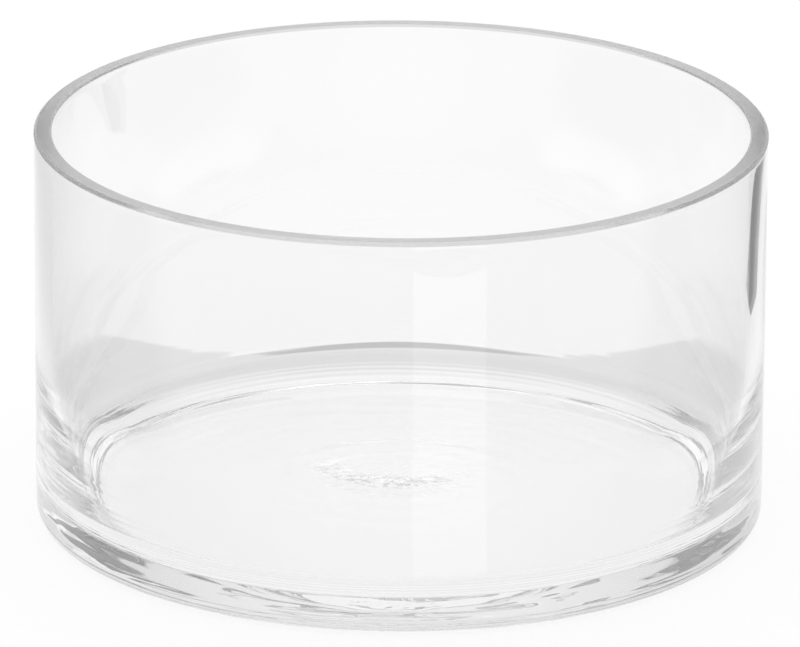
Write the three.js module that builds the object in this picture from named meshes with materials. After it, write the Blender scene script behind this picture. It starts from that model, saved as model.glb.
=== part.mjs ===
// Clear glass cylinder bowl, blown in a mould as one piece of glass, with a ground flat rim.
// Millimetres, Z up. The origin is the centre of the ring that the bowl stands on.
import * as THREE from "three";

// Outside of the bowl
const OUTER_DIAMETER = 250;
const HEIGHT = 138;
const HEEL_RADIUS = 5.8; // rounded corner between the wall and the foot
const FOOT_RING_WIDTH = 9; // flat ring inside that corner, which touches the table
const KICK_UP = 2.4; // how far the middle of the underside is pushed up

// Wall and rim
const WALL = 6.1;
const OUTER_BEVEL = 0.95; // ground chamfers on the two edges of the rim
const INNER_BEVEL = 0.5;

// Inside of the bowl
const BASE_THICKNESS = 9.8; // height of the floor's edge above the table
const FLOOR_CROWN = 1.6; // how much higher the middle of the floor is than its edge
const SWELL_HEIGHT = 60; // the wall starts to thicken at this height
const SWELL_BEND = 40; // the slope of the thick wall would meet the straight wall here
const SWELL = 3.5; // how much thicker it has grown where the corner begins
const CORNER_HEIGHT = 19; // the inner corner begins at this height
const CORNER_REACH = 13.2; // from the inner wall in to where the floor begins
const CORNER_FULLNESS = 0.25; // 0 is a straight slope, 1 a square corner

// Marks that the blowing leaves in the floor
const MARK_RADIUS = 28; // low round mark at the middle, where the gather was
const MARK_SIDE = 9; // width of the slope round the mark
const MARK_HEIGHT = 0.35;
const RIPPLE_RADIUS = 46; // faint raised ring round the mark
const RIPPLE_HEIGHT = 0.2;
const RIPPLE_REACH = 8; // from the ring's crest to where it fades out

// Fineness of the mesh
const TURN_STEPS = 96;
const HEEL_STEPS = 2;
const SWELL_STEPS = 6;
const CORNER_STEPS = 10;
const KICK_STEPS = 5;
const FLOOR_STEPS = 4; // from the corner to the ripple
const RIPPLE_STEPS = 4;
const MARK_SIDE_STEPS = 3;
const MARK_STEPS = 3;

const outerRadius = OUTER_DIAMETER / 2;
const innerRadius = outerRadius - WALL;
const footOuterRadius = outerRadius - HEEL_RADIUS;
const footInnerRadius = footOuterRadius - FOOT_RING_WIDTH;
const floorRadius = innerRadius - CORNER_REACH;

// A smooth bump that is 1 at the middle of its reach and 0, with no slope, at its edge.
function bump(distance, reach) {
  return distance < reach ? (1 + Math.cos((Math.PI * distance) / reach)) / 2 : 0;
}

// Height of the underside at a radius: level at the foot ring, pushed up in the middle.
function undersideHeight(radius) {
  return KICK_UP * bump(radius, footInnerRadius);
}

// Height of the floor at a radius: crowned in the middle, with the mark and the ring on it.
function floorHeight(radius) {
  const crown = FLOOR_CROWN * bump(radius, floorRadius);
  const intoMark = Math.max(radius - (MARK_RADIUS - MARK_SIDE), 0);
  const mark = MARK_HEIGHT * bump(intoMark, MARK_SIDE);
  const ring = RIPPLE_HEIGHT * bump(Math.abs(radius - RIPPLE_RADIUS), RIPPLE_REACH);
  return BASE_THICKNESS + crown + mark + ring;
}

// Even steps from one radius to another, without the first.
function inSteps(from, to, count) {
  return Array.from({ length: count }, (_, step) => from + ((to - from) * (step + 1)) / count);
}

// Points of the underside, from the axis out to the foot ring.
function undersideLine() {
  return Array.from({ length: KICK_STEPS + 1 }, (_, step) => {
    const radius = (footInnerRadius * step) / KICK_STEPS;
    return new THREE.Vector2(radius, undersideHeight(radius));
  });
}

// Points of the outside, from the foot ring round the heel and up to the ground rim.
function outsideLine() {
  const path = new THREE.Path();
  path.moveTo(footOuterRadius, 0);
  path.absarc(footOuterRadius, HEEL_RADIUS, HEEL_RADIUS, -Math.PI / 2, 0, false);
  path.lineTo(outerRadius, HEIGHT - OUTER_BEVEL);
  path.lineTo(outerRadius - OUTER_BEVEL, HEIGHT);
  return path.getPoints(HEEL_STEPS);
}

// Points of the inside, from the ground rim down the wall and round the thick corner.
function insideLine() {
  const cornerTop = innerRadius - SWELL;
  const swell = new THREE.QuadraticBezierCurve(
    new THREE.Vector2(innerRadius, SWELL_HEIGHT),
    new THREE.Vector2(innerRadius, SWELL_BEND),
    new THREE.Vector2(cornerTop, CORNER_HEIGHT),
  );
  const slope = SWELL / (SWELL_BEND - CORNER_HEIGHT);
  const drop = CORNER_FULLNESS * (CORNER_HEIGHT - BASE_THICKNESS);
  const reach = CORNER_FULLNESS * (cornerTop - floorRadius);
  const corner = new THREE.CubicBezierCurve(
    new THREE.Vector2(cornerTop, CORNER_HEIGHT),
    new THREE.Vector2(cornerTop - slope * drop, CORNER_HEIGHT - drop),
    new THREE.Vector2(floorRadius + reach, BASE_THICKNESS),
    new THREE.Vector2(floorRadius, BASE_THICKNESS),
  );
  return [
    new THREE.Vector2(innerRadius + INNER_BEVEL, HEIGHT),
    new THREE.Vector2(innerRadius, HEIGHT - INNER_BEVEL),
    ...swell.getPoints(SWELL_STEPS).slice(0, -1),
    ...corner.getPoints(CORNER_STEPS),
  ];
}

// Points of the floor, from the corner in over the ripple and the mark to the axis.
function floorLine() {
  const rippleStart = RIPPLE_RADIUS + RIPPLE_REACH;
  const rippleEnd = RIPPLE_RADIUS - RIPPLE_REACH;
  const markTop = MARK_RADIUS - MARK_SIDE;
  const radii = [
    ...inSteps(floorRadius, rippleStart, FLOOR_STEPS),
    ...inSteps(rippleStart, rippleEnd, RIPPLE_STEPS),
    MARK_RADIUS,
    ...inSteps(MARK_RADIUS, markTop, MARK_SIDE_STEPS),
    ...inSteps(markTop, 0, MARK_STEPS),
  ];
  return radii.map((radius) => new THREE.Vector2(radius, floorHeight(radius)));
}

// The whole section turned round the axis, stood up on Z.
function bowlGeometry() {
  const section = [...undersideLine(), ...outsideLine(), ...insideLine(), ...floorLine()];
  return new THREE.LatheGeometry(section, TURN_STEPS).rotateX(Math.PI / 2);
}

const clearGlass = new THREE.MeshStandardMaterial({
  name: "clear_glass",
  color: 0xf4f6f6,
  roughness: 0.03,
  metalness: 0,
  transparent: true,
  opacity: 0.35,
});

const bowl = new THREE.Mesh(bowlGeometry(), clearGlass);
bowl.name = "glass_bowl";

const part = new THREE.Group();
part.add(bowl);

export default part;
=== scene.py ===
"""Clear straight-sided glass bowl with a ground flat rim, on a plain pale floor.

Metres, Z up. The bowl stands on its foot ring, and the ring's centre is the origin.
"""

import logging
import math
from collections.abc import Iterator
from dataclasses import dataclass
from enum import Enum
from typing import NamedTuple

import bmesh
import bpy
from mathutils import Euler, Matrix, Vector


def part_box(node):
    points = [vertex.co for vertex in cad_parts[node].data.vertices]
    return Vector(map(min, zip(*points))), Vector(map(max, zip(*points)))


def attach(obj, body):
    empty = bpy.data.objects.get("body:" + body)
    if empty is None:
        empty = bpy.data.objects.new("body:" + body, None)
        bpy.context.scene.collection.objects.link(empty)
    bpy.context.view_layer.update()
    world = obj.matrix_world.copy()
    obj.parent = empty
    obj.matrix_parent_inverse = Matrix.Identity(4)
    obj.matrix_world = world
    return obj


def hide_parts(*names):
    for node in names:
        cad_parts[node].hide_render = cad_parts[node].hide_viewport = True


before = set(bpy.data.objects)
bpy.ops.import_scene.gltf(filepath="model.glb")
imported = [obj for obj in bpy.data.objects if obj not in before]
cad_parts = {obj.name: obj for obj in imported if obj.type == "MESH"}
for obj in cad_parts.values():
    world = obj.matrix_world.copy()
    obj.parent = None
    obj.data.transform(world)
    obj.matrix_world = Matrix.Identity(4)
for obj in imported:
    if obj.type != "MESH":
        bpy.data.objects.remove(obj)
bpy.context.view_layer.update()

LOG = logging.getLogger("glass_bowl")
NODE = "glass_bowl"
BODY = "root"
MM = 0.001
LITRES = 1000  # in a cubic metre

# Blender's names for the kinds of node that are used most
MATH = "ShaderNodeMath"
VECTOR = "ShaderNodeVectorMath"
RANGE = "ShaderNodeMapRange"
SPLIT = "ShaderNodeSeparateXYZ"
JOIN = "ShaderNodeCombineXYZ"
NOISE = "ShaderNodeTexNoise"
NAMED = "GeometryNodeInputNamedAttribute"
STORE = "GeometryNodeStoreNamedAttribute"

Colour = tuple[float, float, float, float]
Point = tuple[float, float]
Tree = bpy.types.NodeTree
Node = bpy.types.Node
Socket = bpy.types.NodeSocket
Sockets = bpy.types.NodeOutputs


class Stray(NamedTuple):
    """How freely the glass strays from true, as shares of the bowl's own sizes for it."""

    wave: float
    rings: float
    mottle: float


class Zone(Enum):
    """The stretches of the bowl's section, by how freely the glass strays at their ends."""

    UNDERSIDE = Stray(0.1, 0.02, 0.1)
    FOOT = Stray(0.1, 0.4, 0.8)
    HEEL = Stray(0.1, 0.4, 0.4)
    OUTSIDE = Stray(0.3, 0.02, 0.0)
    RIM = Stray(0.0, 0.0, 0.0)
    INSIDE = Stray(1.0, 0.02, 0.0)
    SWELL = Stray(1.0, 0.5, 0.0)
    CORNER = Stray(0.8, 1.0, 0.0)
    FLOOR = Stray(0.7, 0.0, 0.03)
    MARK = Stray(0.4, 0.05, 0.6)


class Side(Enum):
    """How bright the studio is on each side, in four bands from the table's level up.

    Behind the bowl hangs a high white backdrop. Flags hold the light off the other sides.
    """

    BACK = (1.05, 1.15, 1.3, 0.85)
    RIGHT = (1.3, 0.55, 0.35, 1.05)
    FRONT = (1.3, 1.1, 0.5, 0.3)
    LEFT = (0.7, 0.65, 0.65, 1.2)


class Patch(NamedTuple):
    """A soft-edged oval of painted light or shade on the floor, lighter or darker than the rest by
    its gain.
    """

    x: float
    y: float
    half_wide: float
    half_deep: float
    gain: float


class Station(NamedTuple):
    """A point of the bowl's section, with how freely the glass strays and how ground it is."""

    radius: float
    height: float
    stray: Stray
    ground: float = 0.0


def linear(colour: str) -> Colour:
    """Turns an sRGB colour to linear light.

    Args:
        colour: Six hex digits after a hash sign.

    Returns:
        Linear red, green and blue, and an alpha of 1.
    """
    shares = (int(colour[i : i + 2], 16) / 255 for i in (1, 3, 5))
    red, green, blue = (
        share / 12.92 if share <= 0.04045 else ((share + 0.055) / 1.055) ** 2.4 for share in shares
    )
    return red, green, blue, 1.0


def add_node(tree: Tree, kind: str, inputs: dict[str | int, object], **settings: object) -> Node:
    """Adds a node, with its settings and what feeds it.

    Args:
        tree: The tree that the node goes into.
        kind: Blender's name for the kind of node.
        inputs: What feeds each input, by its name or place: a value, a socket of another node,
            or another node, which stands for its first socket in use.
        **settings: The node's own properties.

    Returns:
        The new node.
    """
    node = tree.nodes.new(kind)
    for name, value in settings.items():
        setattr(node, name, value)
    for key, value in inputs.items():
        if isinstance(value, Node):
            value = next(socket for socket in value.outputs if socket.enabled)
        if isinstance(value, Socket):
            tree.links.new(value, node.inputs[key])
        else:
            node.inputs[key].default_value = value
    return node


def bump(distance: float, reach: float) -> float:
    """A smooth swelling: 1 at no distance, and 0 with no slope from reach on."""
    return (1 + math.cos(math.pi * distance / reach)) / 2 if distance < reach else 0.0


def spread(count: int, start: float, end: float) -> list[float]:
    """Even steps from start to end, with both ends in."""
    return [start + (end - start) * i / (count - 1) for i in range(count)]


def between(first: Zone, last: Zone, share: float) -> Stray:
    """How freely the glass strays part of the way from one zone to another."""
    return Stray(*(a + (b - a) * share for a, b in zip(first.value, last.value)))


def bent(points: tuple[Point, ...], share: float) -> Point:
    """A point of the smooth curve that a few points draw.

    Args:
        points: The curve's two ends, with its handles between them.
        share: How far along the curve the point lies.

    Returns:
        Its radius and height.
    """
    order = len(points) - 1
    weights = [
        math.comb(order, i) * share**i * (1 - share) ** (order - i) for i in range(order + 1)
    ]
    radius, height = (sum(w * p[axis] for w, p in zip(weights, points)) for axis in (0, 1))
    return radius, height


@dataclass(frozen=True)
class BlownGlass:
    """Soda-lime glass, blown in a mould: clear, neutral and fire-polished, with a ground rim.

    The fire left the walls quite smooth, so they only bend what lies behind them. The rim is
    ground flat on a wheel, which leaves it an even satin grey with the finest of scratches.
    """

    name: str = "blown_soda_lime_glass"
    body: str = "#FBFBFB"
    ground_body: str = "#BCBCBC"
    ior: float = 1.52
    polished: float = 0.0
    ground: float = 0.3
    absorbed: str = "#B8B8B8"
    absorption_per_metre: float = 2.0

    # The wheel's own scratches are some 0.05 mm apart, too fine to show, so these are coarser
    scratch_spacing: float = 0.5 * MM
    scratch_depth: float = 0.125 * MM
    scratch_strength: float = 0.12
    scratch_detail: float = 3.0

    def roughness(self, tree: Tree, where: Socket) -> Node:
        """Adds the roughness: polished, but for the ground rim.

        Args:
            tree: The material's tree.
            where: The socket with how ground the surface is.

        Returns:
            The node with the roughness.
        """
        levels = {0: where, 1: self.ground, 2: self.polished}
        return add_node(tree, MATH, levels, operation="MULTIPLY_ADD")

    def tint(self, tree: Tree, where: Socket) -> Node:
        """Adds the colour: clear, and a little grey where grinding left pits in the rim.

        Args:
            tree: The material's tree.
            where: The socket with how ground the surface is.

        Returns:
            The node with the colour.
        """
        # The factor and the two colours, by place because their names repeat
        colours = {0: where, 6: linear(self.body), 7: linear(self.ground_body)}
        return add_node(tree, "ShaderNodeMix", colours, data_type="RGBA")

    def scratches(self, tree: Tree, where: Socket) -> Node:
        """Adds the grinding marks, which are only on the rim.

        Args:
            tree: The material's tree.
            where: The socket with how ground the surface is.

        Returns:
            The node with the scratched surface's normal.
        """
        marks = add_node(
            tree,
            NOISE,
            {
                "Vector": add_node(tree, "ShaderNodeTexCoord", {}).outputs["Object"],
                "Scale": 1 / self.scratch_spacing,
                "Detail": self.scratch_detail,
            },
        )
        depth = add_node(tree, MATH, {0: where, 1: self.scratch_strength}, operation="MULTIPLY")
        relief = {"Height": marks, "Strength": depth, "Distance": self.scratch_depth}
        return add_node(tree, "ShaderNodeBump", relief)

    def material(self) -> bpy.types.Material:
        """Makes the glass.

        Returns:
            The material, with its surface and its faintly absorbing inside.
        """
        made = bpy.data.materials.new(self.name)
        made.use_nodes = True
        tree = made.node_tree
        tree.nodes.clear()
        where = add_node(tree, "ShaderNodeAttribute", {}, attribute_name="ground").outputs["Fac"]
        surface = add_node(
            tree,
            "ShaderNodeBsdfPrincipled",
            {
                "Base Color": self.tint(tree, where),
                "Roughness": self.roughness(tree, where),
                "Normal": self.scratches(tree, where),
                "IOR": self.ior,
                "Transmission Weight": 1.0,
            },
        )
        inside = add_node(
            tree,
            "ShaderNodeVolumeAbsorption",
            {"Color": linear(self.absorbed), "Density": self.absorption_per_metre},
        )
        add_node(tree, "ShaderNodeOutputMaterial", {"Surface": surface, "Volume": inside})
        return made


@dataclass
class Bowl:
    """The bowl: one piece of glass, turned from its section and then let go slightly untrue."""

    outer_radius: float
    height: float
    heel_radius: float = 5.8 * MM
    foot_ring_width: float = 9.0 * MM
    kick_up: float = 2.4 * MM
    wall: float = 6.1 * MM

    # The ground rim: its bevels, the eased arrises and how far down the grinding shows
    rim_depth: float = 3.8 * MM
    outer_bevel: float = 0.95 * MM
    inner_bevel: float = 0.5 * MM
    arris_ease: float = 0.1 * MM
    arris_hold: float = 0.22 * MM
    ground_end: float = 0.45 * MM
    bevel_ground: float = 0.8

    # The inside, from the thickening wall to the floor and its blowing marks
    base_thickness: float = 9.8 * MM
    floor_crown: float = 1.6 * MM
    swell_height: float = 60.0 * MM
    swell_bend: float = 40.0 * MM
    swell: float = 3.5 * MM
    corner_height: float = 19.0 * MM
    corner_reach: float = 13.2 * MM
    corner_fullness: float = 0.25
    mark_radius: float = 28.0 * MM
    mark_side: float = 9.0 * MM
    mark_height: float = 0.35 * MM
    ripple_radius: float = 46.0 * MM
    ripple_height: float = 0.2 * MM
    ripple_reach: float = 8.0 * MM

    # How far and how finely the glass strays: slow waves, rings round the corner, mottle
    wave_height: float = 0.3 * MM
    wave_length: float = 70.0 * MM
    wave_draw: float = 0.35
    wave_detail: float = 1.0
    ring_height: float = 0.5 * MM
    ring_length: float = 1.6 * MM
    ring_cells: float = 0.3
    ring_detail: float = 1.5
    mottle_height: float = 0.4 * MM
    mottle_length: float = 6.0 * MM
    mottle_cells: float = 4.0
    mottle_detail: float = 2.0
    kick_power: float = 4.0
    swell_power: float = 5.0
    corner_rate: float = 3.0
    seed: float = 3.0

    # The rough lip on one side of the mark, and the satin flecks in it
    lip_height: float = 1.8 * MM
    lip_shift: float = 14.0 * MM
    lip_radius: float = 24.0 * MM
    lip_width: float = 9.0 * MM
    lip_length: float = 2.5 * MM
    lip_detail: float = 1.0
    lip_turn: float = math.radians(255)
    lip_end: float = -0.1
    fleck_low: float = 0.5
    fleck_high: float = 0.62

    # Fineness of the mesh
    kick_steps: int = 50
    foot_steps: int = 8
    heel_steps: int = 12
    outside_steps: int = 22
    ease_steps: int = 5
    inside_steps: int = 14
    swell_steps: int = 62
    corner_steps: int = 60
    floor_steps: int = 110
    turn_steps: int = 264
    blur_steps: int = 4
    pivot: float = 1.0 * MM
    merge_distance: float = 0.002 * MM
    tolerance: float = 0.001 * MM

    @property
    def inner_radius(self) -> float:
        """Radius of the inside above the swell."""
        return self.outer_radius - self.wall

    @property
    def floor_radius(self) -> float:
        """Radius at which the corner ends and the floor begins."""
        return self.inner_radius - self.corner_reach

    @property
    def foot_radius(self) -> float:
        """Radius at which the heel ends and the flat foot ring begins."""
        return self.outer_radius - self.heel_radius

    @property
    def ring_radius(self) -> float:
        """Radius at which the flat foot ring ends and the push-up begins."""
        return self.foot_radius - self.foot_ring_width

    def floor_height(self, radius: float) -> float:
        """Height of the floor at a radius, with its crown, mark and ring.

        Args:
            radius: How far the place is from the axis.

        Returns:
            Its height above the table.
        """
        crown = self.floor_crown * bump(radius, self.floor_radius)
        middle = self.mark_radius - self.mark_side
        mark = self.mark_height * bump(max(radius - middle, 0.0), self.mark_side)
        ring = self.ripple_height * bump(abs(radius - self.ripple_radius), self.ripple_reach)
        return self.base_thickness + crown + mark + ring

    def swelling(self, share: float) -> Point:
        """A point of the thickening wall, where it swells towards the corner.

        Args:
            share: How far down it lies, from the straight wall at 0 to the corner at 1.

        Returns:
            Its radius and height.
        """
        ends = (
            (self.inner_radius, self.swell_height),
            (self.inner_radius, self.swell_bend),
            (self.inner_radius - self.swell, self.corner_height),
        )
        return bent(ends, share)

    def corner(self, share: float) -> Point:
        """A point of the inner corner, between the thickened wall and the floor.

        Args:
            share: How far round it lies, from the wall at 0 to the floor at 1.

        Returns:
            Its radius and height.
        """
        top = self.inner_radius - self.swell
        drop = self.corner_fullness * (self.corner_height - self.base_thickness)
        slope = self.swell / (self.swell_bend - self.corner_height)
        reach = self.corner_fullness * (top - self.floor_radius)
        ends = (
            (top, self.corner_height),
            (top - slope * drop, self.corner_height - drop),
            (self.floor_radius + reach, self.base_thickness),
            (self.floor_radius, self.base_thickness),
        )
        return bent(ends, share)

    def eased(self, before: Point, arris: Point, after: Point) -> list[Point]:
        """A tiny round in place of a sharp arris, with a point on either side to hold it small.

        Args:
            before: The point ahead of the arris.
            arris: The sharp arris.
            after: The point behind it.

        Returns:
            The points that take the arris's place.
        """
        ways = [
            [(e - a) / math.dist(arris, end) for e, a in zip(end, arris)]
            for end in (before, after)
        ]
        start, stop, hold_start, hold_stop = (
            tuple(a + reach * w for a, w in zip(arris, way))
            for reach in (self.arris_ease, self.arris_hold)
            for way in ways
        )
        curve = [bent((start, arris, stop), share) for share in spread(self.ease_steps, 0.0, 1.0)]
        return [hold_start, *curve, hold_stop]

    def rim(self) -> Iterator[Station]:
        """The ground rim's section, with its two bevels and their eased arrises.

        Yields:
            Each point of it, between two just off it that the wheel hasn't ground.
        """
        outer, inner, top = self.outer_radius, self.inner_radius, self.height
        sharp = (
            (outer, top - self.rim_depth),
            (outer, top - self.outer_bevel),
            (outer - self.outer_bevel, top),
            (inner + self.inner_bevel, top),
            (inner, top - self.inner_bevel),
            (inner, top - self.rim_depth),
        )
        still = Zone.RIM.value
        yield Station(outer, top - self.outer_bevel - self.ground_end, still)
        for corner in zip(sharp, sharp[1:], sharp[2:]):
            for radius, height in self.eased(*corner):
                on_top = height > top - self.tolerance
                yield Station(radius, height, still, 1.0 if on_top else self.bevel_ground)
        yield Station(inner, top - self.inner_bevel - self.ground_end, still)

    def section(self) -> Iterator[Station]:
        """The section from the axis under the bowl, over the rim and back to the axis inside.

        Yields:
            Each point of it.
        """
        for radius in spread(self.kick_steps, 0.0, self.ring_radius):
            share = (radius / self.ring_radius) ** self.kick_power
            height = self.kick_up * bump(radius, self.ring_radius)
            yield Station(radius, height, between(Zone.UNDERSIDE, Zone.FOOT, share))
        for radius in spread(self.foot_steps, self.ring_radius, self.foot_radius)[1:-1]:
            yield Station(radius, 0.0, Zone.FOOT.value)
        for turn in spread(self.heel_steps, -math.pi / 2, 0.0):
            radius = self.foot_radius + self.heel_radius * math.cos(turn)
            yield Station(radius, self.heel_radius * (1 + math.sin(turn)), Zone.HEEL.value)
        rim_foot = self.height - self.rim_depth
        for height in spread(self.outside_steps, self.heel_radius, rim_foot)[1:]:
            yield Station(self.outer_radius, height, Zone.OUTSIDE.value)
        yield from self.rim()
        for height in spread(self.inside_steps, rim_foot, self.swell_height)[:-1]:
            yield Station(self.inner_radius, height, Zone.INSIDE.value)
        for share in spread(self.swell_steps, 0.0, 1.0)[:-1]:
            stray = between(Zone.INSIDE, Zone.SWELL, share**self.swell_power)
            yield Station(*self.swelling(share), stray)
        for share in spread(self.corner_steps, 0.0, 1.0):
            stray = between(Zone.SWELL, Zone.CORNER, min(self.corner_rate * share, 1.0))
            yield Station(*self.corner(share), stray)
        for radius in spread(self.floor_steps, self.floor_radius, 0.0)[1:]:
            if radius > self.mark_radius:
                share = min((self.floor_radius - radius) / self.ripple_reach, 1.0)
                stray = between(Zone.CORNER, Zone.FLOOR, share)
            else:
                share = min((self.mark_radius - radius) / self.mark_side, 1.0)
                stray = between(Zone.FLOOR, Zone.MARK, share)
            yield Station(radius, self.floor_height(radius), stray)

    def outline(self) -> bpy.types.Object:
        """Makes the section as a line of edges, upside down, as the turning takes it.

        Returns:
            An object whose points carry how freely the glass strays and how ground it is.
        """
        stations = [*self.section()]
        line = bpy.data.meshes.new("bowl_section")
        edges = [(i, i + 1) for i in range(len(stations) - 1)]
        places = [(station.radius - self.pivot, -station.height, 0.0) for station in stations]
        line.from_pydata(places, edges, [])
        marks = {name: [getattr(s.stray, name) for s in stations] for name in Stray._fields}
        for name, values in {**marks, "ground": [s.ground for s in stations]}.items():
            layer = line.attributes.new(name, "FLOAT", "POINT")
            layer.data.foreach_set("value", values)
        held = bpy.data.objects.new("bowl_section", line)
        bpy.context.scene.collection.objects.link(held)
        return held

    def inputs(self) -> dict[str, float]:
        """The node tree's named inputs and their values.

        Returns:
            A value for each name. A whole number gets a whole-number input.
        """
        fields = (
            *("turn_steps", "blur_steps", "pivot", "merge_distance", "seed"),
            *("wave_height", "wave_length", "wave_draw", "wave_detail"),
            *("ring_height", "ring_length", "ring_cells", "ring_detail"),
            *("mottle_height", "mottle_length", "mottle_cells", "mottle_detail"),
            *("lip_height", "lip_shift", "lip_radius", "lip_width", "lip_length", "lip_detail"),
            *("lip_end", "fleck_low", "fleck_high"),
        )
        given = {field.replace("_", " ").title(): getattr(self, field) for field in fields}
        given["Lip East"] = math.cos(self.lip_turn)
        given["Lip North"] = math.sin(self.lip_turn)
        given["Lip Floor"] = self.base_thickness / 2
        return given

    @staticmethod
    def straying(tree: Tree, given: Sockets) -> Node:
        """Adds the nodes that say how far into the glass each point of its surface strays.

        Args:
            tree: The tree that turns the bowl.
            given: The sockets of the tree's own inputs.

        Returns:
            The node with that distance.
        """
        place = add_node(tree, "GeometryNodeInputPosition", {})
        parts = add_node(tree, SPLIT, {"Vector": place}).outputs
        flat = add_node(tree, JOIN, {"X": parts["X"], "Y": parts["Y"]})
        out = add_node(tree, VECTOR, {0: flat}, operation="LENGTH")
        way = add_node(tree, VECTOR, {0: flat}, operation="NORMALIZE")
        along = add_node(tree, MATH, {0: out, 1: parts["Z"]}, operation="ADD")
        drawn = add_node(tree, MATH, {0: parts["Z"], 1: given["Wave Draw"]}, operation="MULTIPLY")
        tall = add_node(tree, JOIN, {"Z": drawn})
        wide = add_node(tree, VECTOR, {0: flat, 1: tall}, operation="ADD")
        fine = add_node(tree, MATH, {0: 1.0, 1: given["Wave Length"]}, operation="DIVIDE")
        patterns = {"Wave": add_node(tree, VECTOR, {0: wide, "Scale": fine}, operation="SCALE")}
        for name in ("Ring", "Mottle"):
            length, cells = given[f"{name} Length"], given[f"{name} Cells"]
            step = add_node(tree, MATH, {0: along, 1: length}, operation="DIVIDE")
            rise = add_node(tree, JOIN, {"Z": step})
            across = add_node(tree, VECTOR, {0: way, "Scale": cells}, operation="SCALE")
            patterns[name] = add_node(tree, VECTOR, {0: across, 1: rise}, operation="ADD")
        total = 0.0
        for (name, pattern), field in zip(patterns.items(), Stray._fields):
            noise = add_node(
                tree,
                NOISE,
                {
                    "Vector": pattern,
                    "W": given["Seed"],
                    "Scale": 1.0,
                    "Detail": given[f"{name} Detail"],
                },
                noise_dimensions="4D",
            )
            share = add_node(tree, NAMED, {"Name": field}, data_type="FLOAT")
            height = given[f"{name} Height"]
            reach = add_node(tree, MATH, {0: share, 1: height}, operation="MULTIPLY")
            total = add_node(tree, MATH, {0: noise, 1: reach, 2: total}, operation="MULTIPLY_ADD")
        return total

    @staticmethod
    def lip(tree: Tree, given: Sockets) -> tuple[Node, Node]:
        """Adds the small rough lip on one side of the floor's mark, where the gather folded.

        Args:
            tree: The tree that turns the bowl.
            given: The sockets of the tree's own inputs.

        Returns:
            The node that is 1 on the lip and 0 away from it, and that of its fine pattern.
        """
        place = add_node(tree, "GeometryNodeInputPosition", {})
        parts = add_node(tree, SPLIT, {"Vector": place}).outputs
        north = add_node(tree, MATH, {0: parts["Y"], 1: given["Lip Shift"]}, operation="SUBTRACT")
        flat = add_node(tree, JOIN, {"X": parts["X"], "Y": north})
        out = add_node(tree, VECTOR, {0: flat}, operation="LENGTH")
        way = add_node(tree, VECTOR, {0: flat}, operation="NORMALIZE")
        side = add_node(tree, JOIN, {"X": given["Lip East"], "Y": given["Lip North"]})
        facing = add_node(tree, VECTOR, {0: way, 1: side}, operation="DOT_PRODUCT")
        along = add_node(tree, RANGE, {"Value": facing, "From Min": given["Lip End"]})
        off = add_node(tree, MATH, {0: out, 1: given["Lip Radius"]}, operation="SUBTRACT")
        away = add_node(tree, MATH, {0: off}, operation="ABSOLUTE")
        across = add_node(
            tree,
            RANGE,
            {"Value": away, "From Max": given["Lip Width"], "To Min": 1.0, "To Max": 0.0},
            interpolation_type="SMOOTHSTEP",
        )
        high = {0: parts["Z"], 1: given["Lip Floor"]}
        above = add_node(tree, MATH, high, operation="GREATER_THAN")
        band = add_node(tree, MATH, {0: along, 1: across}, operation="MULTIPLY")
        share = add_node(tree, MATH, {0: band, 1: above}, operation="MULTIPLY")
        fine = add_node(tree, MATH, {0: 1.0, 1: given["Lip Length"]}, operation="DIVIDE")
        noise = add_node(
            tree,
            NOISE,
            {"Vector": place, "W": given["Seed"], "Scale": fine, "Detail": given["Lip Detail"]},
            noise_dimensions="4D",
        )
        return share, noise

    @staticmethod
    def revolved(tree: Tree, given: Sockets) -> Node:
        """Adds the nodes that turn the section round the axis to a closed skin.

        Args:
            tree: The tree that turns the bowl.
            given: The sockets of the tree's own inputs.

        Returns:
            The node with the skin, whose faces point outwards.
        """
        piece = given["Geometry"]
        for field in Stray._fields:
            share = add_node(tree, NAMED, {"Name": field}, data_type="FLOAT")
            soft = add_node(
                tree,
                "GeometryNodeBlurAttribute",
                {"Value": share, "Iterations": given["Blur Steps"]},
                data_type="FLOAT",
            )
            kept = {"Geometry": piece, "Name": field, "Value": soft}
            piece = add_node(tree, STORE, kept, data_type="FLOAT", domain="POINT")
        line = add_node(tree, "GeometryNodeMeshToCurve", {"Mesh": piece})
        ring = add_node(
            tree,
            "GeometryNodeCurvePrimitiveCircle",
            {"Resolution": given["Turn Steps"], "Radius": given["Pivot"]},
        )
        turned = add_node(tree, "GeometryNodeCurveToMesh", {"Curve": ring, "Profile Curve": line})
        outward = add_node(tree, "GeometryNodeFlipFaces", {"Mesh": turned})
        return add_node(
            tree,
            "GeometryNodeMergeByDistance",
            {"Geometry": outward, "Distance": given["Merge Distance"]},
        )

    def turning(self, glass: bpy.types.Material) -> Tree:
        """The node tree that turns the section round the axis and lets the glass stray.

        Args:
            glass: The material of the bowl.

        Returns:
            A tree with named inputs for the sizes that it uses.
        """
        tree = bpy.data.node_groups.new("turned_glass", "GeometryNodeTree")
        face = tree.interface
        face.new_socket("Geometry", in_out="INPUT", socket_type="NodeSocketGeometry")
        for name, value in self.inputs().items():
            kind = "NodeSocketInt" if isinstance(value, int) else "NodeSocketFloat"
            face.new_socket(name, in_out="INPUT", socket_type=kind)
        face.new_socket("Geometry", in_out="OUTPUT", socket_type="NodeSocketGeometry")
        given = add_node(tree, "NodeGroupInput", {}).outputs
        skin = self.revolved(tree, given)

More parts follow.
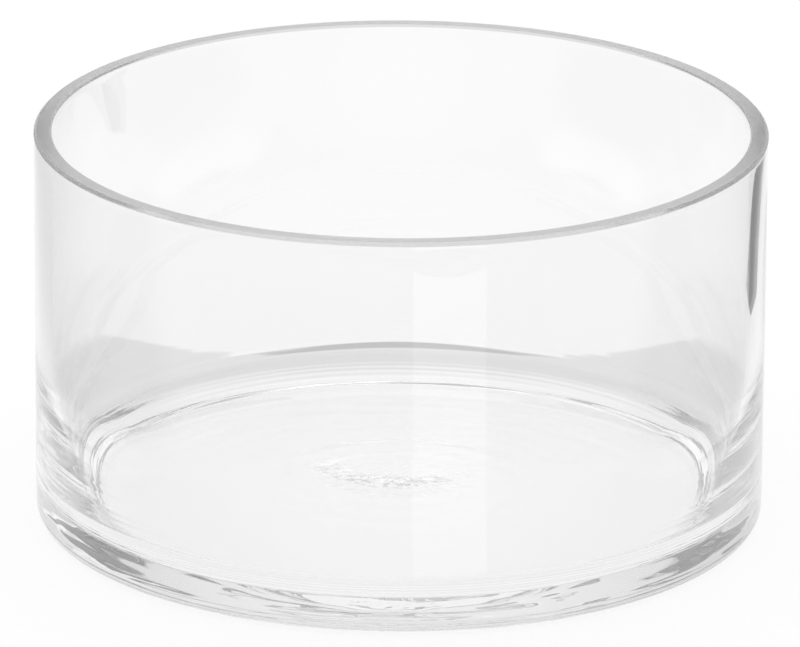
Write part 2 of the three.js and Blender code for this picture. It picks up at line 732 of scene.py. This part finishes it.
        # Satin flecks on the lip join the ground rim
        share, pattern = self.lip(tree, given)
        limits = {"From Min": given["Fleck Low"], "From Max": given["Fleck High"]}
        flecks = add_node(tree, RANGE, {"Value": pattern, "To Max": share, **limits})
        already = add_node(tree, NAMED, {"Name": "ground"}, data_type="FLOAT")
        ground = add_node(tree, MATH, {0: already, 1: flecks}, operation="MAXIMUM")
        kept = {"Geometry": skin, "Name": "ground", "Value": ground}
        marked = add_node(tree, STORE, kept, data_type="FLOAT", domain="POINT")

        # The surface strays only into the glass, so the bowl grows no bigger
        height = add_node(tree, MATH, {0: share, 1: given["Lip Height"]}, operation="MULTIPLY")
        both = {0: height, 1: pattern, 2: self.straying(tree, given)}
        strayed_by = add_node(tree, MATH, both, operation="MULTIPLY_ADD")
        inward = add_node(tree, MATH, {0: strayed_by, 1: -1.0}, operation="MULTIPLY")
        normal = add_node(tree, "GeometryNodeInputNormal", {}).outputs["Normal"]
        offset = add_node(tree, VECTOR, {0: normal, "Scale": inward}, operation="SCALE")
        moved = {"Geometry": marked, "Offset": offset}
        strayed = add_node(tree, "GeometryNodeSetPosition", moved)
        real = add_node(tree, "GeometryNodeRealizeInstances", {"Geometry": strayed})
        dressed = add_node(tree, "GeometryNodeSetMaterial", {"Geometry": real, "Material": glass})
        add_node(tree, "NodeGroupOutput", {"Geometry": dressed})
        return tree

    def build(self, glass: bpy.types.Material) -> bpy.types.Object:
        """Turns the section to a closed mesh.

        Args:
            glass: The material of the bowl.

        Returns:
            The bowl's object, at the origin.
        """
        line = self.outline()
        turner = line.modifiers.new("turned_glass", "NODES")
        turner.node_group = self.turning(glass)
        values = self.inputs()
        for item in turner.node_group.interface.items_tree:
            if item.in_out == "INPUT" and item.name in values:
                turner[item.identifier] = values[item.name]
        seen = line.evaluated_get(bpy.context.evaluated_depsgraph_get())
        mesh = bpy.data.meshes.new_from_object(seen)
        bpy.data.objects.remove(line)
        self.close(mesh)
        mesh.name = "bowl_glass"
        made = bpy.data.objects.new("bowl_glass", mesh)
        bpy.context.scene.collection.objects.link(made)
        return made

    @staticmethod
    def close(mesh: bpy.types.Mesh) -> None:
        """Points every face outwards and shades them smooth.

        Args:
            mesh: The turned mesh, changed in place.
        """
        work = bmesh.new()
        work.from_mesh(mesh)
        bmesh.ops.recalc_face_normals(work, faces=work.faces)
        for face in work.faces:
            face.smooth = True
        LOG.info(
            "bowl: %d faces, %.3f litres of glass, %d open edges",
            len(work.faces),
            work.calc_volume(signed=True) * LITRES,
            sum(not edge.is_manifold for edge in work.edges),
        )
        work.to_mesh(mesh)
        work.free()


@dataclass(frozen=True)
class Card:
    """A flat matt card of the studio, seen only through the glass or as a mirror image.

    It is painted paper board, which gives an even tone from any side. A dark card paints a dark
    streak into the glass, and a glowing one paints a bright reflection.
    """

    name: str
    corners: tuple[Point, ...]
    height: float
    colour: str
    mirrored: bool
    glow: float = 0.0

    def build(self) -> bpy.types.Object:
        """Makes the card.

        Returns:
            Its object.
        """
        mesh = bpy.data.meshes.new(self.name)
        places = [(x, y, self.height) for x, y in self.corners]
        mesh.from_pydata(places, [], [tuple(range(len(places)))])
        made = bpy.data.materials.new(self.name)
        made.use_nodes = True
        tree = made.node_tree
        tree.nodes.clear()
        paint = add_node(tree, "ShaderNodeBsdfDiffuse", {"Color": linear(self.colour)})
        # The glow lights nothing, as diffuse rays don't see the card: it only paints a bright
        # reflection
        lit = add_node(tree, "ShaderNodeEmission", {"Strength": self.glow})
        both = add_node(tree, "ShaderNodeAddShader", {0: paint, 1: lit})
        add_node(tree, "ShaderNodeOutputMaterial", {"Surface": both})
        mesh.materials.append(made)
        card = bpy.data.objects.new(self.name, mesh)
        card.visible_camera = False
        card.visible_diffuse = False
        card.visible_glossy = self.mirrored
        card.visible_transmission = not self.mirrored
        card.visible_shadow = False
        bpy.context.scene.collection.objects.link(card)
        return card


@dataclass(frozen=True)
class Studio:
    """The pale floor with its cards, the soft light all round and the camera."""

    floor_size: float = 60.0
    floor_drop: float = 0.1 * MM
    floor_white: str = "#656565"
    floor_lift: float = 0.88

    # The wall's grey shade on the floor: a wavy square ring with a darker core, rounded off
    shade_start: float = 134.0 * MM
    shade_rise: float = 6.0 * MM
    shade_reach: float = 162.0 * MM
    shade_soft: float = 1.5 * MM
    shade_end: float = 195.0 * MM
    shade_fade: float = 20.0 * MM
    shade_wave: float = 9.0 * MM
    shade_wave_length: float = 140.0 * MM
    shade_depth: float = 0.2
    core_width: float = 9.0 * MM
    core_reach: float = 80.0 * MM
    core_soft: float = 2.0 * MM
    core_depth: float = 2.6
    shade_front: float = -160.0 * MM
    shade_ramp: float = 60.0 * MM

    # The slow fall in brightness to the sides, and the rise again far out
    side_start: float = 130.0 * MM
    side_end: float = 260.0 * MM
    side_lean: float = 35.0 * MM
    side_depth: float = 0.25
    side_far: float = 500.0 * MM
    side_lit: float = 900.0 * MM
    patches: tuple[Patch, ...] = (
        Patch(-0.31, 0.0, 0.12, 0.16, -0.2),
        Patch(0.31, 0.0, 0.12, 0.16, -0.15),
        Patch(-0.175, 0.0, 0.045, 0.09, 0.35),
        Patch(0.175, 0.0, 0.045, 0.09, 0.2),
        Patch(0.0, -0.29, 0.14, 0.14, 0.12),
    )
    patch_core: float = 0.7
    patch_edge: float = 1.1

    # The cards, by the places of their corners on the floor
    # The strip is a dark sheet that only the glass shows: it paints a dark streak into the wall
    strip: tuple[Point, ...] = (
        (0.242, 0.172),
        (0.284, 0.187),
        (0.33, 0.298),
        (0.38, 0.44),
        (0.28, 0.5),
        (0.245, 0.27),
        (0.226, 0.21),
    )
    strip_colour: str = "#4A4A4A"
    # The front card glows and only shows as a mirror image: it paints a bright reflection
    front_card: tuple[Point, ...] = ((0.03, -0.5), (0.2, -0.46), (0.055, -0.17), (0.009, -0.18))
    front_colour: str = "#FFFFFF"
    front_glow: float = 0.9
    card_height: float = 1.0 * MM

    # The light all round, by the sines of the bands' heights above the table's level
    bands: tuple[float, ...] = (0.12, 0.375, 0.625, 0.825)
    overhead: float = 1.45
    overhead_band: float = 0.95
    backdrop: str = "#FFFFFF"

    camera_back: float = 3.125
    camera_height: float = 1.13625
    camera_tilt: float = 18.88
    camera_roll: float = 0.35
    camera_lens: float = 433.9
    camera_reach: float = 100.0
    bounces: int = 96

    @staticmethod
    def background_rays(tree: Tree) -> Node:
        """Tells the rays that show the background: the camera's, reflected and refracted ones.

        Args:
            tree: The floor material's tree.

        Returns:
            The node that is 1 for them and 0 for the rest.
        """
        rays = add_node(tree, "ShaderNodeLightPath", {}).outputs
        pair = {0: rays["Is Camera Ray"], 1: rays["Is Glossy Ray"]}
        seen = add_node(tree, MATH, pair, operation="MAXIMUM")
        both = {0: seen, 1: rays["Is Transmission Ray"]}
        return add_node(tree, MATH, both, operation="MAXIMUM")

    def shade(self, tree: Tree, place: Socket) -> Node:
        """Adds the pale grey shade of the wall on the floor round the bowl, seen through glass.

        Soft light from all round throws it, so its edge waves where the shades overlap.

        Args:
            tree: The floor material's tree.
            place: The socket with the place on the floor.

        Returns:
            The node that is 1 in the light and falls by the shade's depth within it.
        """
        sides = add_node(tree, VECTOR, {0: place}, operation="ABSOLUTE")
        parts = add_node(tree, SPLIT, {"Vector": sides}).outputs
        pair = {0: parts["X"], 1: parts["Y"]}
        far = add_node(tree, MATH, pair, operation="MAXIMUM")
        near = add_node(tree, MATH, pair, operation="MINIMUM")
        per_metre = 2 * math.pi / self.shade_wave_length
        turn = add_node(tree, MATH, {0: near, 1: per_metre}, operation="MULTIPLY")
        wave = add_node(tree, MATH, {0: turn}, operation="COSINE")
        waved = {0: wave, 1: -self.shade_wave, 2: far}
        edge = add_node(tree, MATH, waved, operation="MULTIPLY_ADD")
        within = add_node(
            tree,
            RANGE,
            {
                "Value": edge,
                "From Min": self.shade_reach - self.shade_soft,
                "From Max": self.shade_reach + self.shade_soft,
                "To Min": 1.0,
                "To Max": 0.0,
            },
        )
        middle = add_node(
            tree,
            RANGE,
            {"Value": near, "From Max": self.core_reach, "To Min": self.core_width, "To Max": 0.0},
            interpolation_type="SMOOTHSTEP",
        )
        core = add_node(tree, MATH, {0: middle, 1: edge}, operation="ADD")
        deeper = add_node(
            tree,
            RANGE,
            {
                "Value": core,
                "From Min": self.shade_reach,
                "From Max": self.shade_reach + self.core_soft,
                "To Min": 1.0,
                "To Max": self.core_depth,
            },
        )
        out = add_node(tree, VECTOR, {0: place}, operation="LENGTH")
        start = self.shade_start
        beyond = add_node(
            tree,
            RANGE,
            {"Value": out, "From Min": start - self.shade_rise, "From Max": start},
        )
        ended = add_node(
            tree,
            RANGE,
            {
                "Value": out,
                "From Min": self.shade_end,
                "From Max": self.shade_end + self.shade_fade,
                "To Min": 1.0,
                "To Max": 0.0,
            },
            interpolation_type="SMOOTHSTEP",
        )
        dark = add_node(tree, "ShaderNodeLightPath", {}).outputs["Is Transmission Ray"]
        for factor in (within, beyond, ended, deeper):
            dark = add_node(tree, MATH, {0: dark, 1: factor}, operation="MULTIPLY")
        taken = {0: dark, 1: -self.shade_depth, 2: 1.0}
        return add_node(tree, MATH, taken, operation="MULTIPLY_ADD")

    def falloff(self, tree: Tree, place: Socket) -> Node:
        """Adds the floor's slow fall in brightness to both sides, and its rise again far out.

        It falls at once to the left and further out to the right.

        Args:
            tree: The floor material's tree.
            place: The socket with the place on the floor.

        Returns:
            The node that is 1 in the middle and less at the sides.
        """
        across = add_node(tree, SPLIT, {"Vector": place}).outputs["X"]
        left = add_node(tree, MATH, {0: across, 1: -1.0}, operation="MULTIPLY")
        right = add_node(tree, MATH, {0: across, 1: self.side_lean}, operation="SUBTRACT")
        side = add_node(tree, MATH, {0: left, 1: right}, operation="MAXIMUM")
        level = 1.0
        for start, end, to in (
            (self.side_start, self.side_end, 1.0 - self.side_depth),
            (self.side_far, self.side_lit, 1.0),
        ):
            level = add_node(
                tree,
                RANGE,
                {"Value": side, "From Min": start, "From Max": end, "To Min": level, "To Max": to},
                interpolation_type="SMOOTHSTEP",
            )
        return level

    def patchwork(self, tree: Tree, place: Socket) -> Node:
        """Adds the soft patches of light and shade on the floor.

        Args:
            tree: The floor material's tree.
            place: The socket with the place on the floor.

        Returns:
            The node that is 1 between the patches.
        """
        total = 1.0
        for patch in self.patches:
            middle, size = (patch.x, patch.y, 0.0), (1 / patch.half_wide, 1 / patch.half_deep, 0.0)
            near = add_node(tree, VECTOR, {0: place, 1: middle}, operation="SUBTRACT")
            scaled = add_node(tree, VECTOR, {0: near, 1: size}, operation="MULTIPLY")
            out = add_node(tree, VECTOR, {0: scaled}, operation="LENGTH")
            share = add_node(
                tree,
                RANGE,
                {
                    "Value": out,
                    "From Min": self.patch_core,
                    "From Max": self.patch_edge,
                    "To Min": 1.0,
                    "To Max": 0.0,
                },
                interpolation_type="SMOOTHSTEP",
            )
            gained = {0: share, 1: patch.gain, 2: total}
            total = add_node(tree, MATH, gained, operation="MULTIPLY_ADD")
        return total

    def brightness(self, tree: Tree) -> Node:
        """Adds how bright the floor is: even to the eye, and shaded as seen in the glass.

        Args:
            tree: The floor material's tree.

        Returns:
            The node with that brightness, as a share of the floor's lift.
        """
        place = add_node(tree, "ShaderNodeTexCoord", {}).outputs["Object"]
        pair = {0: self.shade(tree, place), 1: self.falloff(tree, place)}
        dimmest = add_node(tree, MATH, pair, operation="MINIMUM")
        depth = add_node(tree, SPLIT, {"Vector": place}).outputs["Y"]
        behind = add_node(
            tree,
            RANGE,
            {
                "Value": depth,
                "From Min": self.shade_front,
                "From Max": self.shade_front + self.shade_ramp,
                "To Min": 1.0,
                "To Max": dimmest,
            },
            interpolation_type="SMOOTHSTEP",
        )
        patched = {0: behind, 1: self.patchwork(tree, place)}
        through = add_node(tree, MATH, patched, operation="MULTIPLY")
        eye = add_node(tree, "ShaderNodeLightPath", {}).outputs["Is Camera Ray"]
        # The factor and the two numbers, by place because their names repeat
        return add_node(tree, "ShaderNodeMix", {0: eye, 2: through, 3: 1.0}, data_type="FLOAT")

    def floor(self) -> bpy.types.Object:
        """Lays the floor, whose colour gives the pale background and keeps the shadow.

        It is a matt painted board, which shows an even white with no gloss.

        Returns:
            The floor's object.
        """
        half = self.floor_size / 2
        corners = [(-half, -half), (half, -half), (half, half), (-half, half)]
        mesh = bpy.data.meshes.new("floor")
        mesh.from_pydata([(x, y, -self.floor_drop) for x, y in corners], [], [(0, 1, 2, 3)])
        made = bpy.data.materials.new("matt_white_floor")
        made.use_nodes = True
        tree = made.node_tree
        tree.nodes.clear()
        paint = add_node(tree, "ShaderNodeBsdfDiffuse", {"Color": linear(self.floor_white)})
        rays = {0: self.background_rays(tree), 1: self.floor_lift}
        lift = add_node(tree, MATH, rays, operation="MULTIPLY")
        shaded = add_node(tree, MATH, {0: lift, 1: self.brightness(tree)}, operation="MULTIPLY")
        glow = add_node(tree, "ShaderNodeEmission", {"Strength": shaded})
        both = add_node(tree, "ShaderNodeAddShader", {0: paint, 1: glow})
        add_node(tree, "ShaderNodeOutputMaterial", {"Surface": both})
        mesh.materials.append(made)
        floor = bpy.data.objects.new("floor", mesh)
        bpy.context.scene.collection.objects.link(floor)
        return floor

    def cards(self) -> tuple[Card, Card]:
        """Lays out the cards.

        Returns:
            The dark strip behind the bowl on its right, which paints a dark streak into the glass,
            and the white card in front of it, which glows to paint a bright reflection.
        """
        low = self.card_height
        strip = Card("painted_dark_streak", self.strip, low, self.strip_colour, mirrored=False)
        front = Card(
            "painted_reflection_card", self.front_card, low, self.front_colour, True, self.front_glow
        )
        return strip, front

    def banded(self, tree: Tree, side: Side, rise: Socket) -> Node:
        """Adds one side's brightness from the table's level up to the light overhead.

        Args:
            tree: The world's tree.
            side: Which side of the studio.
            rise: The socket with the sine of the height above the table's level.

        Returns:
            The node with the brightness.
        """
        bands = add_node(tree, "ShaderNodeValToRGB", {"Fac": rise})
        bands.color_ramp.interpolation = "EASE"
        stops = [*zip(self.bands, side.value), (self.overhead_band, self.overhead)]
        ramp = bands.color_ramp.elements
        while len(ramp) < len(stops):
            ramp.new(0.5)  # its real place is set below
        for stop, (place, tone) in zip(ramp, stops):
            stop.position = place
            stop.color = (tone, tone, tone, 1.0)
        return bands

    def light(self) -> None:
        """Fills the world with soft light, by the studio's sides and bright overhead."""
        world = bpy.data.worlds.new("soft_studio")
        world.use_nodes = True
        bpy.context.scene.world = world
        tree = world.node_tree
        tree.nodes.clear()
        way = add_node(tree, "ShaderNodeTexCoord", {}).outputs["Generated"]
        rise = add_node(tree, SPLIT, {"Vector": way}).outputs["Z"]
        flat = add_node(tree, VECTOR, {0: way, 1: (1.0, 1.0, 0.0)}, operation="MULTIPLY")
        level = add_node(tree, VECTOR, {0: flat}, operation="NORMALIZE")
        total = 0.0
        for turn, pair in ((1.0, (Side.RIGHT, Side.BACK)), (-1.0, (Side.LEFT, Side.FRONT))):
            turned = add_node(tree, VECTOR, {0: level, "Scale": turn}, operation="SCALE")
            ahead = add_node(tree, VECTOR, {0: turned, 1: (0.0, 0.0, 0.0)}, operation="MAXIMUM")
            shares = add_node(tree, SPLIT, {"Vector": ahead}).outputs
            for side, axis in zip(pair, ("X", "Y")):
                squared = add_node(tree, MATH, {0: shares[axis], 1: 2.0}, operation="POWER")
                lit = {0: squared, 1: self.banded(tree, side, rise), 2: total}
                total = add_node(tree, MATH, lit, operation="MULTIPLY_ADD")
        eye = add_node(tree, "ShaderNodeLightPath", {}).outputs["Is Camera Ray"]
        # The factor and the two colours, by place because their names repeat
        tones = {0: eye, 6: total, 7: linear(self.backdrop)}
        chosen = add_node(tree, "ShaderNodeMix", tones, data_type="RGBA")
        sky = add_node(tree, "ShaderNodeBackground", {"Color": chosen})
        add_node(tree, "ShaderNodeOutputWorld", {"Surface": sky})

    def camera(self) -> bpy.types.Object:
        """Places the camera at the viewing angle, far off with a long lens.

        Returns:
            The camera, which is the scene's own.
        """
        eye = bpy.data.cameras.new("camera")
        eye.lens = self.camera_lens
        eye.clip_end = self.camera_reach
        held = bpy.data.objects.new("camera", eye)
        held.location = (0.0, -self.camera_back, self.camera_height)
        tilt = Euler((math.radians(90 - self.camera_tilt), 0.0, 0.0)).to_matrix()
        roll = Euler((0.0, 0.0, math.radians(self.camera_roll))).to_matrix()
        held.rotation_euler = (tilt @ roll).to_euler()
        bpy.context.scene.collection.objects.link(held)
        bpy.context.scene.camera = held
        return held

    def build(self) -> None:
        """Sets the stage and the way that light is followed through the glass."""
        self.floor()
        for card in self.cards():
            card.build()
        self.light()
        self.camera()
        scene = bpy.context.scene
        scene.view_settings.view_transform = "Standard"
        scene.cycles.max_bounces = self.bounces
        scene.cycles.transmission_bounces = self.bounces
        scene.cycles.glossy_bounces = self.bounces


def main() -> None:
    """Builds the stage and the bowl, and reports each piece."""
    logging.basicConfig(level=logging.INFO, format="%(name)s: %(message)s")
    Studio().build()
    LOG.info("stage is set")
    low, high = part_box(NODE)
    sizes = Bowl(outer_radius=high.x, height=high.z - low.z)
    bowl = sizes.build(BlownGlass().material())
    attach(bowl, BODY)
    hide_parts(NODE)
    LOG.info("%s rides on %s", bowl.name, BODY)


if __name__ == "__main__":
    main()
